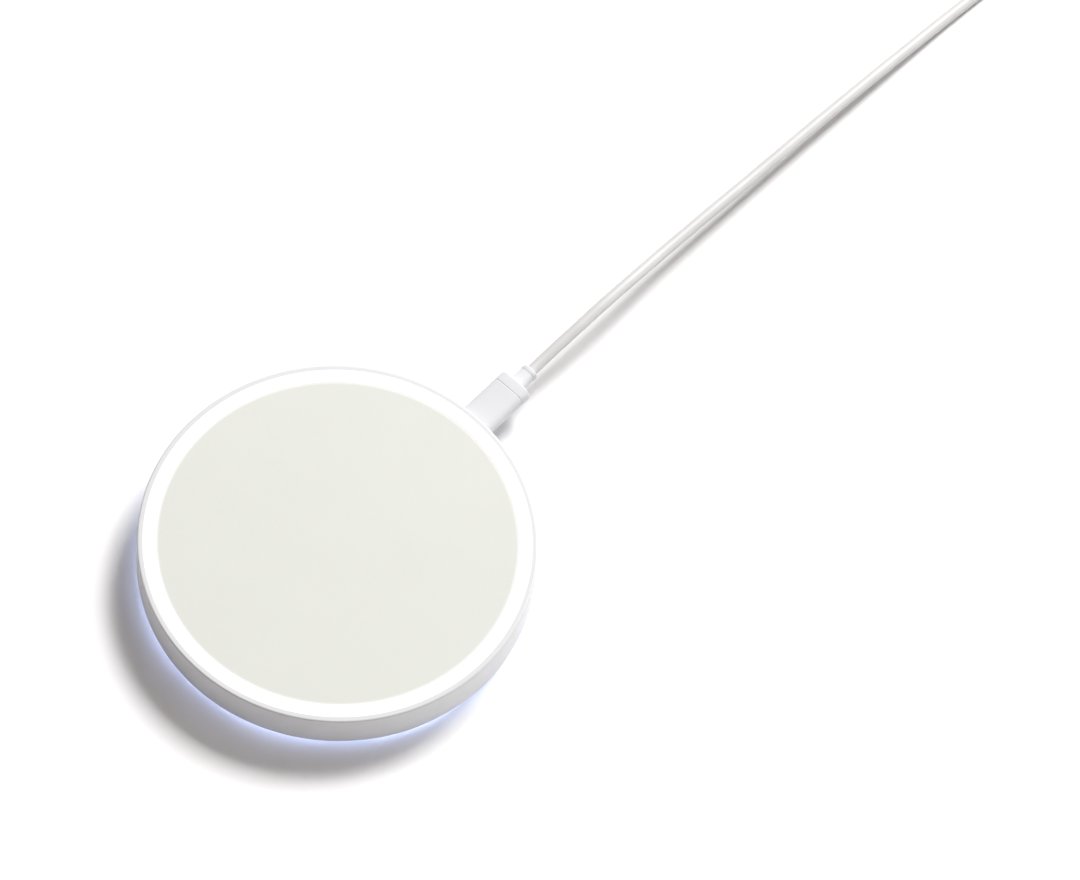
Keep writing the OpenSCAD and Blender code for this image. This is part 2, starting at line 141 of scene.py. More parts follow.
def coil_point(angle):
    """A point of the coil, from its centre, at an angle in degrees counted over all the turns."""
    turn = int(angle // 360)
    stops = COIL_TURNS + [COIL_TOP, COIL_TOP]
    (r, z), (next_r, next_z) = stops[turn], stops[turn + 1]
    shift = ((angle % 360) - (360 - SHIFT_ANGLE)) / SHIFT_ANGLE
    if turn < len(COIL_TURNS) and shift > 0:
        climbs = next_z > z
        outwards = 1 if r > INNERMOST_R else -1
        bulge = SHIFT_BULGE * outwards * math.sin(math.pi * shift) if climbs else 0
        r += (next_r - r) * smooth_step(shift) + bulge
        z += (next_z - z) * smooth_step(shift)
    off_tie = abs((angle % 360) - TIE_ANGLE) / TIE_LIFT_REACH
    z += TIE_LIFT * smooth_step(1 - off_tie)
    a = math.radians(angle)
    return (r * math.cos(a), r * math.sin(a), z)


def cord_path():
    """The whole centreline of the cord, in metres."""
    lead = [p + Vector((0, CORD_EXIT.y / MM, 0)) for p in spline(CORD_ROUTE, LEAD_STEPS)]
    centre = Vector((COIL_X / MM, COIL_Y / MM, 0))
    end_angle = 360 * len(COIL_TURNS) + TAIL_ARC_END
    turns = [centre + Vector(coil_point(a)) for a in range(COIL_STEP, end_angle + 1, COIL_STEP)]
    corner = [coil_point(end_angle - TAIL_LEAD_IN), coil_point(end_angle)]
    tail = [centre + p for p in spline(corner + TAIL_ROUTE, TAIL_STEPS)[TAIL_STEPS + 1:]]
    return [p * MM for p in lead + turns + tail]


# ---- Mesh helpers ---------------------------------------------------------------------------

# Points closer than this are one point.
WELD = 1e-7
# Distance from a corner at which `hold` puts a point, and the shortest stretch that it holds.
HOLD = 0.05 * MM
HOLD_SHORTEST = 8 * HOLD
ROUND_SEGMENTS = 256
FOOT_SEGMENTS = 192

def arc(cx, cy, r, start, end, steps=10):
    """Points of an arc around (cx, cy), from one angle to another in degrees."""
    angles = [math.radians(start + (end - start) * i / steps) for i in range(steps + 1)]
    return [(cx + r * math.cos(a), cy + r * math.sin(a)) for a in angles]


def hold(outline):
    """The same closed outline, with extra points near the ends of its long straight stretches.

    They keep the shading of a flat face level right up to the curve that it runs into."""
    held = []
    for a, b in zip(outline, outline[1:] + outline[:1]):
        a, b = Vector(a), Vector(b)
        held.append(tuple(a))
        if (b - a).length > HOLD_SHORTEST:
            step = (b - a).normalized() * HOLD
            held += [tuple(a + step), tuple(b - step)]
    return held


def rounded_box_outline(w, h, r, steps=8):
    """Outline of a rectangle with rounded corners, centred."""
    x, y = w / 2 - r, h / 2 - r
    return (arc(x, y, r, 0, 90, steps) + arc(-x, y, r, 90, 180, steps)
            + arc(-x, -y, r, 180, 270, steps) + arc(x, -y, r, 270, 360, steps))


def round_corners(corners, r, steps=5):
    """An outline whose corners are replaced by quadratic curves that start r away from each."""
    outline = []
    count = len(corners)
    for i, corner in enumerate(corners):
        here = Vector(corner)
        before, after = Vector(corners[i - 1]), Vector(corners[(i + 1) % count])
        start = here + (before - here).normalized() * r
        end = here + (after - here).normalized() * r
        for k in range(steps + 1):
            t = k / steps
            outline.append(tuple(start * (1 - t) ** 2 + here * 2 * t * (1 - t) + end * t * t))
    return outline


def finish_mesh(bm, name):
    """Welds the points, turns the faces outwards, and returns the mesh."""
    bmesh.ops.remove_doubles(bm, verts=bm.verts, dist=WELD)
    bmesh.ops.recalc_face_normals(bm, faces=bm.faces)
    mesh = bpy.data.meshes.new(name)
    bm.to_mesh(mesh)
    bm.free()
    return mesh


def lathe(name, outline, segments=ROUND_SEGMENTS):
    """A closed outline of (radius, height) points, turned about the pad's axis."""
    bm = bmesh.new()
    angles = [2 * math.pi * k / segments for k in range(segments)]
    rings = []
    for r, z in hold(outline):
        if r < WELD:
            rings.append([bm.verts.new((0, 0, z))])
        else:
            rings.append([bm.verts.new((r * math.cos(a), r * math.sin(a), z)) for a in angles])
    for low, high in zip(rings, rings[1:] + rings[:1]):
        for k in range(segments):
            n = (k + 1) % segments
            corners = [low[k % len(low)], low[n % len(low)], high[n % len(high)], high[k % len(high)]]
            corners = list(dict.fromkeys(corners))
            if len(corners) > 2:
                bm.faces.new(corners)
    return finish_mesh(bm, name)


def loft(name, sections, closed=False):
    """A skin over sections that have the same number of points, with flat ends unless closed."""
    bm = bmesh.new()
    rings = [[bm.verts.new(p) for p in section] for section in sections]
    count = len(sections[0])
    pairs = list(zip(rings, rings[1:]))
    if closed:
        pairs.append((rings[-1], rings[0]))
    for a, b in pairs:
        for k in range(count):
            n = (k + 1) % count
            bm.faces.new([a[k], a[n], b[n], b[k]])
    if not closed:
        bm.faces.new(rings[0][::-1])
        bm.faces.new(rings[-1])
    return finish_mesh(bm, name)


def bar_section(outline, y, z):
    """An outline in X and Z, placed at a distance along Y."""
    return [(x, y, z + h) for x, h in outline]


def sweep(name, path, radius, sides=16):
    """A round tube along a path, with its ring turned as little as possible from point to point."""
    up = Vector((0, 0, 1))
    sections = []
    for i, here in enumerate(path):
        along = (path[min(i + 1, len(path) - 1)] - path[max(i - 1, 0)]).normalized()
        side = along.cross(up).normalized()
        up = side.cross(along).normalized()
        angles = [2 * math.pi * k / sides for k in range(sides)]
        sections.append([here + radius * (math.cos(a) * side + math.sin(a) * up) for a in angles])
    return loft(name, sections)


def cut(mesh, cutter):
    """The mesh with the cutter's volume taken out of it, as a new mesh."""
    base = bpy.data.objects.new("base", mesh)
    tool = bpy.data.objects.new("tool", cutter)
    for obj in (base, tool):
        bpy.context.scene.collection.objects.link(obj)
    step = base.modifiers.new("step", "BOOLEAN")
    step.operation = "DIFFERENCE"
    step.solver = "EXACT"
    step.object = tool
    bpy.context.view_layer.update()
    evaluated = base.evaluated_get(bpy.context.evaluated_depsgraph_get())
    result = bpy.data.meshes.new_from_object(evaluated)
    bpy.data.objects.remove(base)
    bpy.data.objects.remove(tool)
    return result


def piece(name, mesh, material, body, nodes, sharp=35):
    """Shows a mesh as a piece of the object, in place of some CAD nodes.

    Edges that turn by more than the angle `sharp`, in degrees, are shaded as sharp ones."""
    mesh.shade_smooth()
    mesh.set_sharp_from_angle(angle=math.radians(sharp))
    mesh.materials.clear()
    mesh.materials.append(material)
    obj = bpy.data.objects.new(name, mesh)
    bpy.context.scene.collection.objects.link(obj)
    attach(obj, body)
    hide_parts(*nodes)
    return obj


# ---- Material helpers -----------------------------------------------------------------------

# Blender's pointiness where an edge begins to be painted lighter, as wear and on the plug's grip as a
# painted highlight, and where it is fully so.
EDGE_POINTINESS = (0.52, 0.6)


class Graph:
    """The node tree of one material, built around its Principled shader."""

    def __init__(self, name):
        self.material = bpy.data.materials.new(name)
        self.material.use_nodes = True
        self.tree = self.material.node_tree
        self.shader = self.tree.nodes["Principled BSDF"]
        self.coords = self.add("ShaderNodeTexCoord").outputs["Object"]

    def add(self, kind, **values):
        node = self.tree.nodes.new(kind)
        for key, value in values.items():
            setattr(node, key, value)
        return node

    def link(self, output, target):
        self.tree.links.new(output, target)

    def noise(self, scale, detail=2, roughness=0.5, vector=None):
        node = self.add("ShaderNodeTexNoise")
        node.inputs["Scale"].default_value = scale
        node.inputs["Detail"].default_value = detail
        node.inputs["Roughness"].default_value = roughness
        self.link(vector or self.coords, node.inputs["Vector"])
        return node.outputs["Fac"]

    def stretch(self, scale):
        """Object coordinates scaled by axis, for brushed finishes."""
        node = self.add("ShaderNodeMapping")
        node.inputs["Scale"].default_value = scale
        self.link(self.coords, node.inputs["Vector"])
        return node.outputs["Vector"]

    def map(self, value, low, high, start=0.3, end=0.7):
        """A value that runs from low to high while the given one runs from start to end."""
        node = self.add("ShaderNodeMapRange")
        node.inputs["From Min"].default_value = start
        node.inputs["From Max"].default_value = end
        node.inputs["To Min"].default_value = low
        node.inputs["To Max"].default_value = high
        self.link(value, node.inputs["Value"])
        return node.outputs["Result"]

    def mix(self, factor, a, b):
        """A blend of two colours, each of them a tuple or another node's output."""
        node = self.add("ShaderNodeMix", data_type="RGBA")
        self.link(factor, node.inputs["Factor"])
        for name, colour in (("A", a), ("B", b)):
            socket = next(s for s in node.inputs if s.name == name and s.type == "RGBA")
            if isinstance(colour, tuple):
                socket.default_value = (*colour, 1)
            else:
                self.link(colour, socket)
        return next(s for s in node.outputs if s.type == "RGBA")

    def height(self, low, high, start, end):
        """A value that runs from low to high between two heights of the object."""
        split = self.add("ShaderNodeSeparateXYZ")
        self.link(self.coords, split.inputs["Vector"])
        return self.map(split.outputs["Z"], low, high, start, end)

    def radius(self, low, high, start, end):
        """A value that runs from low to high between two distances from the pad's axis."""
        flat = self.add("ShaderNodeVectorMath", operation="MULTIPLY")
        flat.inputs[1].default_value = (1, 1, 0)
        self.link(self.coords, flat.inputs[0])
        length = self.add("ShaderNodeVectorMath", operation="LENGTH")
        self.link(flat.outputs["Vector"], length.inputs[0])
        return self.map(length.outputs["Value"], low, high, start, end)

    def edges(self):
        """One on convex edges and zero on flat stretches."""
        pointiness = self.add("ShaderNodeNewGeometry").outputs["Pointiness"]
        return self.map(pointiness, 0, 1, *EDGE_POINTINESS)

    def bump(self, height, strength, distance):
        node = self.add("ShaderNodeBump")
        node.inputs["Strength"].default_value = strength
        node.inputs["Distance"].default_value = distance
        self.link(height, node.inputs["Height"])
        return node.outputs["Normal"]

    def set(self, **values):
        """Sets or links inputs of the Principled shader, with _ for each space in their names."""
        for name, value in values.items():
            socket = self.shader.inputs[name.replace("_", " ")]
            if isinstance(value, bpy.types.NodeSocket):
                self.link(value, socket)
            else:
                socket.default_value = value


def tint(colour, factor):
    return tuple(min(c * factor, 1) for c in colour)


def clouded(g, colour, scale, spread):
    """The colour with slow changes of tone, by this much up and down."""
    return g.mix(g.map(g.noise(scale, 3), 0, 1), tint(colour, 1 - spread), tint(colour, 1 + spread))


def plastic_graph(name, colour, roughness, grain=6000, grain_depth=0.004, wear=0.04,
                  specular=0.5):
    """Moulded plastic: fine grain, slow changes of tone and gloss, and convex edges painted lighter:
    slight wear at small amounts, a painted highlight at large ones.

    Returns the graph and its colour, for materials that add something of their own."""
    g = Graph(name)
    base = g.mix(g.edges(), clouded(g, colour, 60, 0.03), tint(colour, 1 + wear))
    g.set(
        Base_Color=base,
        Roughness=g.map(g.noise(900, 3), roughness - 0.05, roughness + 0.05),
        Normal=g.bump(g.noise(grain, 2), 0.35, grain_depth * MM),
        Specular_IOR_Level=specular,
    )
    return g, base


def plastic(name, colour, roughness, **finish):
    return plastic_graph(name, colour, roughness, **finish)[0].material


def metal(name, colour, roughness, brushed=(1, 1, 1)):
    """Sheet metal: a brushed or rolled grain, and brighter worn edges."""
    g = Graph(name)
    grain = g.noise(2500, 4, 0.6, g.stretch(brushed))
    tone = g.mix(g.map(g.noise(300, 3), 0, 1), tint(colour, 0.88), tint(colour, 1.05))
    g.set(
        Base_Color=g.mix(g.edges(), tone, tint(colour, 1.25)),
        Metallic=1.0,
        Roughness=g.map(grain, roughness - 0.08, roughness + 0.12),
        Normal=g.bump(grain, 0.4, 0.003 * MM),
    )
    return g.material


def soft_graph(name, colour, roughness):
    """Silicone or another elastomer: matt, slightly dusty, with a soft sheen."""
    g = Graph(name)
    dust = g.map(g.noise(500, 4, 0.65), 0, 1, 0.45, 0.75)
    g.set(
        Base_Color=g.mix(dust, colour, tint(colour, 1.06)),
        Roughness=g.map(g.noise(1200, 3), roughness - 0.06, roughness + 0.06),
        Normal=g.bump(g.noise(3000, 3), 0.4, 0.02 * MM),
        Sheen_Weight=0.15,
        Sheen_Roughness=0.5,
    )
    return g


# ---- Materials ------------------------------------------------------------------------------

LED_COUNT = 8
# Strength of the glow, and its factors in front of an LED and halfway between two.
GLOW = 9.5
GLOW_AT_LED = 1.2
GLOW_BETWEEN = 0.85
GLOW_COLOUR = (0.55, 0.66, 1.0, 1)
# The guide's glow falls to this part of its strength, over this height above its flange's underside.
GUIDE_DIM = 0.05
GUIDE_DIM_RISE = 0.4 * MM
# The foot is lit from this depth under its outer side, and fully from the second depth on.
FOOT_GLOW = 90
FOOT_LIT = (0.3 * MM, 0.1 * MM)
# Painted shade on top of the casing's rim: the tone it is painted there, and the depths under the rim
# between which it changes.
RIM_PAINTED_SHADE = 0.9
RIM_SHADE_DEPTHS = (0.4 * MM, 0.25 * MM)
# Painted light: the disc is painted paler towards the bright ring, from inside its edge to just past
# it.
DISC_RING_LIGHT_FADE = (-0.6 * MM, 0.3 * MM)
DISC_RING_LIGHT_COLOUR = (0.8, 0.8, 0.79)


def disc_coating():
    """The soft-touch lacquer of the charging disc: warm off-white with a very fine leathery grain,
    painted paler at its edge as painted light from the bright ring.
    """
    g = Graph("disc_coating")
    colour = (0.608, 0.622, 0.582)
    cloud = g.map(g.noise(35, 4, 0.6), 0, 1, 0.35, 0.65)
    speck = g.map(g.noise(2600, 2), 0, 1, 0.35, 0.65)
    tone = g.mix(cloud, tint(colour, 0.985), tint(colour, 1.015))
    grain = g.add("ShaderNodeTexVoronoi", feature="SMOOTH_F1")
    grain.inputs["Scale"].default_value = 2200
    g.link(g.coords, grain.inputs["Vector"])
    # Painted light: a paler colour towards the ring, standing in for the ring's light on the disc's
    # edge.
    edge = g.radius(0, 1, DISC_R + DISC_RING_LIGHT_FADE[0], DISC_R + DISC_RING_LIGHT_FADE[1])
    g.set(
        Base_Color=g.mix(edge, g.mix(speck, tone, tint(colour, 1.02)), DISC_RING_LIGHT_COLOUR),
        Roughness=g.map(g.noise(700, 3), 0.62, 0.72),
        Normal=g.bump(grain.outputs["Distance"], 0.25, 0.01 * MM),
        Specular_IOR_Level=0.25,
    )
    return g.material


def glowing_guide():
    """Frosted light guide, lit blue-violet below, a little brighter in front of each of its LEDs."""
    g = Graph("glowing_guide")
    split = g.add("ShaderNodeSeparateXYZ")
    g.link(g.coords, split.inputs["Vector"])
    angle = g.add("ShaderNodeMath", operation="ARCTAN2")
    g.link(split.outputs["Y"], angle.inputs[0])
    g.link(split.outputs["X"], angle.inputs[1])
    lobes = g.add("ShaderNodeMath", operation="MULTIPLY")
    lobes.inputs[1].default_value = LED_COUNT
    g.link(angle.outputs[0], lobes.inputs[0])
    wave = g.add("ShaderNodeMath", operation="COSINE")
    g.link(lobes.outputs[0], wave.inputs[0])
    lobe = g.map(wave.outputs[0], GLOW * GLOW_AT_LED, GLOW * GLOW_BETWEEN, -1, 1)
    low = g.height(1, GUIDE_DIM, GUIDE_Z, GUIDE_Z + GUIDE_DIM_RISE)
    lit = g.add("ShaderNodeMath", operation="MULTIPLY")
    g.link(lobe, lit.inputs[0])
    g.link(low, lit.inputs[1])
    g.set(
        Base_Color=g.mix(g.noise(800, 3), (0.66, 0.68, 0.86), (0.74, 0.76, 0.92)),
        Roughness=g.map(g.noise(1500, 2), 0.4, 0.55),
        Normal=g.bump(g.noise(3000, 2), 0.4, 0.01 * MM),
        Emission_Strength=lit.outputs[0],
        Emission_Color=GLOW_COLOUR,
    )
    return g.material


def case_plastic():
    """The casing's white plastic, painted a little greyer on the top of the rim as painted shade."""
    colour = (0.675, 0.68, 0.69)
    g, base = plastic_graph("case_white", colour, 0.4)
    # Painted shade: the top of the rim is painted darker than the rest of the casing.
    top = g.height(0, 1, PAD_TOP - RIM_SHADE_DEPTHS[0], PAD_TOP - RIM_SHADE_DEPTHS[1])
    g.set(Base_Color=g.mix(top, base, tint(colour, RIM_PAINTED_SHADE)))
    return g.material


def foot_silicone(outer):
    """The foot's translucent silicone, lit through on its outer side by the light guide beside it."""
    g = soft_graph("foot_silicone", (0.62, 0.62, 0.63), 0.75)
    g.set(
        Emission_Strength=g.radius(0, FOOT_GLOW, outer - FOOT_LIT[0], outer - FOOT_LIT[1]),
        Emission_Color=GLOW_COLOUR,
    )
    return g.material


def solder_mask():
    """Green circuit board with faint copper tracks under the lacquer."""
    g = Graph("solder_mask")
    tracks = g.add("ShaderNodeTexBrick", offset=0.37)
    tracks.inputs["Scale"].default_value = 260
    tracks.inputs["Mortar Size"].default_value = 0.09
    tracks.inputs["Brick Width"].default_value = 0.9
    g.link(g.coords, tracks.inputs["Vector"])
    g.set(
        Base_Color=g.mix(tracks.outputs["Fac"], (0.012, 0.12, 0.05), (0.03, 0.24, 0.09)),
        Roughness=g.map(g.noise(900, 3), 0.25, 0.4),
        Normal=g.bump(tracks.outputs["Fac"], 0.5, 0.03 * MM),
    )
    return g.material


def litz():
    """Enamelled copper strands, twisted along the turns."""
    g = Graph("litz")
    strands = g.add("ShaderNodeTexWave", wave_type="RINGS", rings_direction="Z")
    strands.inputs["Scale"].default_value = 900
    strands.inputs["Distortion"].default_value = 6
    strands.inputs["Detail"].default_value = 2
    g.link(g.coords, strands.inputs["Vector"])
    g.set(
        Base_Color=g.mix(strands.outputs["Fac"], (0.42, 0.16, 0.06), (0.78, 0.4, 0.2)),
        Metallic=0.8,
        Roughness=g.map(g.noise(2000, 2), 0.3, 0.45),
        Normal=g.bump(strands.outputs["Fac"], 0.6, 0.05 * MM),
    )
    return g.material


def strap_fabric():
    """Woven hook-and-loop strap."""
    g = Graph("strap_fabric")
    weave = g.add("ShaderNodeTexChecker")
    weave.inputs["Scale"].default_value = 2600
    g.link(g.coords, weave.inputs["Vector"])
    fuzz = g.noise(5200, 4, 0.7)
    tone = g.mix(weave.outputs["Fac"], (0.5, 0.5, 0.51), (0.6, 0.6, 0.61))
    g.set(
        Base_Color=g.mix(fuzz, tone, (0.68, 0.68, 0.69)),
        Roughness=g.map(fuzz, 0.8, 0.95),
        Normal=g.bump(fuzz, 0.9, 0.12 * MM),
        Sheen_Weight=0.4,
    )
    return g.material


def cable_jacket():
    """White jacket with a satin surface and a slightly uneven skin."""
    g = Graph("cable_jacket")
    g.set(
        Base_Color=clouded(g, (0.56, 0.56, 0.555), 140, 0.03),
        Roughness=g.map(g.noise(1500, 3), 0.4, 0.5),
        Normal=g.bump(g.noise(1800, 2), 0.3, 0.008 * MM),
        Coat_Weight=0.05,
        Coat_Roughness=0.15,
    )
    return g.material


CASE_WHITE = case_plastic()
RING_WHITE = plastic("ring_white", (0.88, 0.88, 0.88), 0.3, grain=9000, grain_depth=0.001, wear=0)
# The grip's rounded edges are painted much lighter: a painted highlight.
GRIP_WHITE = plastic("grip_white", (0.6, 0.605, 0.62), 0.48, grain=4500, grain_depth=0.01, wear=0.3,
                     specular=0.15)
JACKET = cable_jacket()
GUIDE = glowing_guide()
STEEL = metal("connector_steel", (0.6, 0.61, 0.63), 0.28, (0.1, 1, 1))
BLACK_PLASTIC = plastic("connector_black", (0.02, 0.02, 0.022), 0.5)
WHITE_PLASTIC = plastic("connector_white", (0.78, 0.78, 0.77), 0.45)
GOLD = metal("contact_gold", (0.83, 0.6, 0.22), 0.22)
SCREW = metal("screw_zinc", (0.5, 0.5, 0.52), 0.32)
FOOT = foot_silicone(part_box("foot_ring")[1].x)
STRAP = strap_fabric()


# ---- Camera ---------------------------------------------------------------------------------

# Angles in degrees, distance and aim in metres, lens in millimetres.
CAMERA_AZIMUTH = 40.32
CAMERA_ELEVATION = 62.86
CAMERA_ROLL = 6.19
CAMERA_DISTANCE = 2
CAMERA_AIM = Vector((0.01256, 0.0615, 0))
CAMERA_LENS = 267
CAMERA_CLIP = (0.01, 20)


def make_camera():
    """A camera high above the side away from the cable, so far off that its view is nearly parallel."""
    a, e = math.radians(CAMERA_AZIMUTH), math.radians(CAMERA_ELEVATION)
    back = Vector((math.sin(a) * math.cos(e), -math.cos(a) * math.cos(e), math.sin(e)))
    camera = bpy.data.objects.new("camera", bpy.data.cameras.new("camera"))
    bpy.context.scene.collection.objects.link(camera)
    camera.location = Vector((0, 0, PAD_TOP / 2)) + back * CAMERA_DISTANCE
    camera.rotation_mode = "QUATERNION"
    level = (CAMERA_AIM - camera.location).to_track_quat("-Z", "Y")
    camera.rotation_quaternion = level @ Quaternion((0, 0, 1), math.radians(CAMERA_ROLL))
    camera.data.lens = CAMERA_LENS
    camera.data.clip_start, camera.data.clip_end = CAMERA_CLIP
    bpy.context.scene.camera = camera


# ---- Cable ----------------------------------------------------------------------------------

# The slim plug's grip: corner radius, length of the bevelled cap, and then the sections at each end
# and at the groove before the cap. A section is a distance and how much narrower and thinner the
# grip is there, all in millimetres.
GRIP_CORNER = 1.9 * MM
GRIP_CAP = 3
GRIP_START = [(0, 0.4, 0.4), (0.1, 0.12, 0.12), (0.25, 0, 0), (0.4, 0, 0)]
GRIP_GROOVE = [(-0.36, 0, 0), (-0.22, 0, 0), (-0.1, 0.14, 0.14), (0.05, 0.14, 0.14), (0.17, 0, 0),
               (0.3, 0, 0)]
GRIP_END = [(-0.32, 0, 0), (-0.2, 0.02, 0.02), (-0.06, 0.14, 0.1), (0, 0.4, 0.3)]
# The neck: how far it reaches into the grip, and how much smaller it is there than its CAD box.
# NECK_END has its sections from the other end: distance, and how much smaller, in millimetres.
NECK_CORNER = 1.5 * MM
NECK_OVERLAP = 0.3 * MM
NECK_SMALLER = 0.14
NECK_END = [(-1.6, 0.14), (-1.4, 0.16), (-1.3, 0.16), (-1.2, 0.04), (-1.1, 0.02), (-0.3, 0.02),
            (-0.18, 0.04), (-0.05, 0.14), (0, 0.3)]
# The far plug's grip: a section is a distance in millimetres and a depth, where a depth of one
# takes FAR_DEPTH off the width and FAR_DEPTH_TALL times that off the height.
FAR_CORNER = 2 * MM
FAR_LENGTH = 22
FAR_DEPTH = 0.5 * MM
FAR_DEPTH_TALL = 1.4
FAR_START = [(0, 1.6), (0.25, 0.9), (0.8, 0.3), (1.6, 0.05), (3, 0)]
FAR_RIB = [(0, 0), (0.35, 1), (1.45, 1), (1.8, 0)]
FAR_RIBS = 4
FAR_RIBS_START = 6
FAR_RIB_PITCH = 2.4
FAR_END = [(19, 0), (20.8, 0.05), (21.5, 0.3), (21.9, 0.8), (22, 1.3)]
# The far strain relief: how far it reaches into its grip, its size at the cord and how much wider
# and taller it is at the plug, in millimetres, and its ribs.
RELIEF_CORNER = 1.9 * MM
RELIEF_OVERLAP = 0.3 * MM
RELIEF_SIZE = 4.3
RELIEF_WIDENS = 3.1
RELIEF_HEIGHTENS = 1.2
RELIEF_RIBS = 5
RELIEF_DEPTH = 0.35 * MM
RIB_PROFILE = (0, 0, 0.5, 1, 1, 0.5)
# The strap: thickness, corner radius, how far its middle and its edges lie inside the CAD strap, and
# the steps of each of its rounded edges.
STRAP_T = 0.9 * MM
STRAP_CORNER = 2 * MM
STRAP_INSET_X = 0.65 * MM
STRAP_INSET_Z = 0.6 * MM
STRAP_EDGE_INSET = 0.1 * MM
STRAP_EDGE_STEPS = 6


def make_cord():
    """The cord from the neck to the far plug, with its coil and tail."""
    path = cord_path()
    cord = piece("cord_line", sweep("cord_line", path, CORD_D / 2), JACKET, "cable",
                 ["cord", "cord_coil", "cord_tail"])


def make_grip():
    """The slim plug's grip: rounded edges, and a bevelled end towards the neck."""
    w, t = GRIP[1].x - GRIP[0].x, GRIP[1].z - GRIP[0].z
    y0, y1 = GRIP[0].y, GRIP[1].y
    sections = []
    for origin, stations in ((y0, GRIP_START), (y1 - GRIP_CAP * MM, GRIP_GROOVE), (y1, GRIP_END)):
        for along, narrower, thinner in stations:
            outline = rounded_box_outline(w - narrower * MM, t - thinner * MM, GRIP_CORNER)
            sections.append(bar_section(outline, origin + along * MM, PORT_Z))
    return piece("grip_body", loft("grip_body", sections), GRIP_WHITE, "cable",
                 ["plug_overmould"], sharp=28)


def make_neck():
    """The short neck that the cord comes out of, with a thin collar at its end."""
    w, t = NECK[1].x - NECK[0].x, NECK[1].z - NECK[0].z
    stations = [(NECK[0].y - NECK_OVERLAP, NECK_SMALLER)]
    stations += [(NECK[1].y + along * MM, smaller) for along, smaller in NECK_END]
    sections = []
    for y, smaller in stations:
        outline = rounded_box_outline(w - smaller * MM, t - smaller * MM, NECK_CORNER)
        sections.append(bar_section(outline, y, PORT_Z))
    return piece("grip_neck", loft("grip_neck", sections), GRIP_WHITE, "cable",
                 ["plug_strain_relief"], sharp=28)


def far_section(w, h, r, x):
    """A rounded rectangle across the far plug, which lies along X."""
    y, z = (FAR_GRIP[0].y + FAR_GRIP[1].y) / 2, (FAR_GRIP[0].z + FAR_GRIP[1].z) / 2
    return [(x, y + a, z + b) for a, b in rounded_box_outline(w, h, r)]


def make_far_grip():
    """The far plug's moulded grip, with shallow grooves across it for the fingers."""
    w, h = FAR_GRIP[1].y - FAR_GRIP[0].y, FAR_GRIP[1].z - FAR_GRIP[0].z
    x0, x1 = FAR_GRIP[1].x, FAR_GRIP[0].x
    stations = list(FAR_START)
    for k in range(FAR_RIBS):
        start = FAR_RIBS_START + FAR_RIB_PITCH * k
        stations += [(start + along, depth) for along, depth in FAR_RIB]
    stations += FAR_END
    sections = []
    for along, depth in stations:
        x = x0 + (x1 - x0) * along / FAR_LENGTH
        width, height = w - FAR_DEPTH * depth, h - FAR_DEPTH_TALL * FAR_DEPTH * depth
        sections.append(far_section(width, height, FAR_CORNER, x))
    return piece("far_grip_body", loft("far_grip_body", sections), GRIP_WHITE, "cable",
                 ["far_plug_overmould"], sharp=30)


def make_far_relief():
    """A tapered, ribbed strain relief on the far plug."""
    x0, x1 = FAR_RELIEF[1].x, FAR_RELIEF[0].x - RELIEF_OVERLAP
    sections = []
    steps = len(RIB_PROFILE) * RELIEF_RIBS
    for i in range(steps + 1):
        t = i / steps
        groove = RIB_PROFILE[i % len(RIB_PROFILE)] * RELIEF_DEPTH
        w = (RELIEF_SIZE + RELIEF_WIDENS * t) * MM - 2 * groove
        h = (RELIEF_SIZE + RELIEF_HEIGHTENS * t) * MM - 2 * groove
        sections.append(far_section(w, h, RELIEF_CORNER, x0 + (x1 - x0) * t))
    return piece("far_relief", loft("far_relief", sections), GRIP_WHITE, "cable",
                 ["far_strain_relief"], sharp=40)


def make_tie():
    """A soft strap that goes once around the turns, in one closed loop."""
    x0, x1 = TIE[0].x, TIE[1].x
    middle_x, middle_z = (x0 + x1) / 2, (TIE[0].z + TIE[1].z) / 2
    half_x = (x1 - x0) / 2 - STRAP_INSET_X
    half_z = (TIE[1].z - TIE[0].z) / 2 - STRAP_INSET_Z
    loop = rounded_box_outline(2 * half_x, 2 * half_z, STRAP_CORNER, 10)
    edges = ((TIE[0].y + STRAP_EDGE_INSET, -1), (TIE[1].y - STRAP_EDGE_INSET, 1))
    half_t = STRAP_T / 2
    sections = []
    count = len(loop)
    for i, (x, z) in enumerate(loop):
        ahead, behind = Vector(loop[(i + 1) % count]), Vector(loop[i - 1])
        along = (ahead - behind).normalized()
        out = Vector((along.y, -along.x))
        section = []
        for y, side in edges:
            for k in range(STRAP_EDGE_STEPS + 1):
                a = math.pi * k / STRAP_EDGE_STEPS * side
                offset = -side * half_t * math.cos(a)
                reach = half_t * abs(math.sin(a))
                section.append((middle_x + x + out.x * offset, y + side * (reach - half_t),
                                middle_z + z + out.y * offset))
        sections.append(section)
    return piece("tie_strap", loft("tie_strap", sections, closed=True), STRAP, "cable",
                 ["cable_tie"], sharp=50)


# ---- Pad ------------------------------------------------------------------------------------

WALL_T = 2.4 * MM
# Gap between the wall's foot and the light guide, and between the rim and the ring.
SEAT_GAP = 0.05 * MM
RIM_ROUND = 0.5 * MM
WALL_FOOT_ROUND = 0.3 * MM
# A barely rounded edge, which catches a thin line of light.
CRISP = 0.02 * MM
# The opening around the socket: how much larger it is, its corner radius, and its lower bevels.
PORT_MARGIN = 0.3 * MM
PORT_CORNER = 0.3 * MM
PORT_BEVEL = 0.8 * MM
# The light guide: inner radius, the web that rises to the LEDs, the width of its slope, the flange's
# thickness, and the gap for the socket: how much wider than it, and how far inwards.
GUIDE_IN_R = 45.5 * MM
GUIDE_WEB_IN = 46.3 * MM
GUIDE_WEB_OUT = 47.55 * MM
GUIDE_SLOPE = 1.75 * MM
GUIDE_FLANGE = 0.6 * MM
GUIDE_GAP_MARGIN = 1.4 * MM
GUIDE_GAP_DEPTH = 5 * MM
